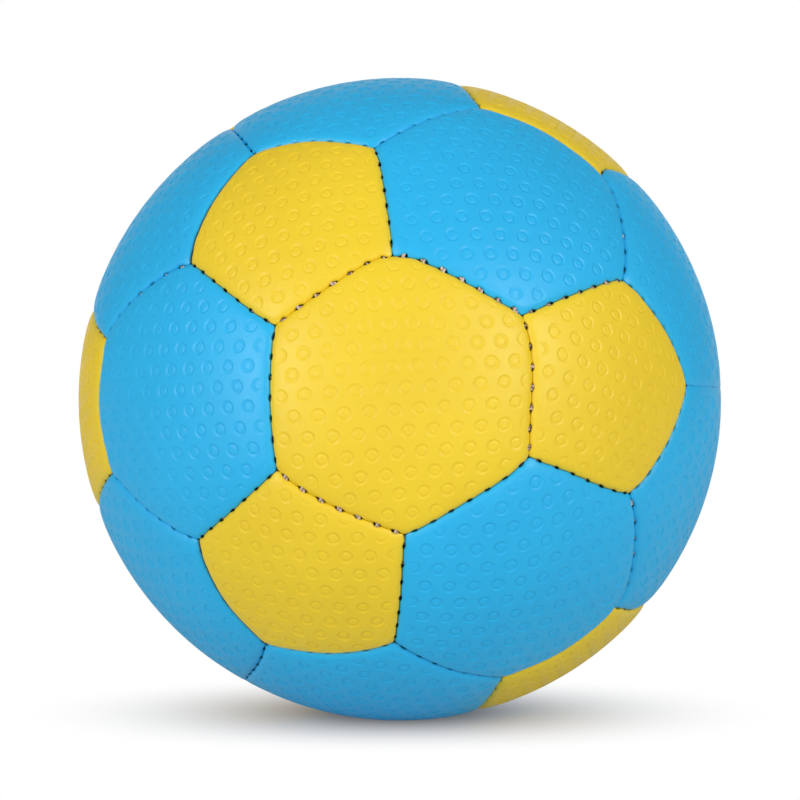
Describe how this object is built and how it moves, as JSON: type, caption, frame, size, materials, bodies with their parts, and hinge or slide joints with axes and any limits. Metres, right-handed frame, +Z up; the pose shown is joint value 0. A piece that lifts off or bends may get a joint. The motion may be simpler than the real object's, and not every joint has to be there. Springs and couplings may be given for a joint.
{
  "type": "handball",
  "caption": "Round hand-stitched ball of sky blue hexagon and yellow pentagon panels with embossed rings, laced seams, a bladder and a needle valve.",
  "frame": {"origin": "centre of the ball", "axes": "+Z up as the ball lies, -Y out through the front panel, +X to the right seen from the front"},
  "size_m": [0.175, 0.175, 0.175],
  "materials": {
    "cover_blue": "semi-matte embossed",
    "cover_yellow": "semi-matte embossed",
    "lining": "layered cloth",
    "thread": "twisted, waxed",
    "bladder_rubber": "matte",
    "valve_rubber": "matte"
  },
  "bodies": {
    "root": {"hexagon_panel_01": "cover_yellow", "hexagon_panel_02": "cover_blue", "hexagon_panel_03": "cover_blue", "hexagon_panel_04": "cover_blue", "hexagon_panel_05": "cover_blue", "hexagon_panel_06": "cover_blue", "hexagon_panel_07": "cover_blue", "hexagon_panel_08": "cover_blue", "hexagon_panel_09": "cover_blue", "hexagon_panel_10": "cover_blue", "hexagon_panel_11": "cover_blue", "hexagon_panel_12": "cover_blue", "hexagon_panel_13": "cover_blue", "hexagon_panel_14": "cover_blue", "hexagon_panel_15": "cover_blue", "hexagon_panel_16": "cover_blue", "hexagon_panel_17": "cover_blue", "hexagon_panel_18": "cover_blue", "hexagon_panel_19": "cover_blue", "hexagon_panel_20": "cover_blue", "pentagon_panel_01": "cover_yellow", "pentagon_panel_02": "cover_yellow", "pentagon_panel_03": "cover_yellow", "pentagon_panel_04": "cover_yellow", "pentagon_panel_05": "cover_yellow", "pentagon_panel_06": "cover_yellow", "pentagon_panel_07": "cover_yellow", "pentagon_panel_08": "cover_yellow", "pentagon_panel_09": "cover_yellow", "pentagon_panel_10": "cover_yellow", "pentagon_panel_11": "cover_yellow", "pentagon_panel_12": "cover_yellow", "hexagon_linings": "lining", "pentagon_linings": "lining", "valve_panel_lining": "lining", "seam_thread": "thread", "bladder": "bladder_rubber", "valve_housing": "valve_rubber", "valve_plug": "valve_rubber"}
  },
  "joints": []
}
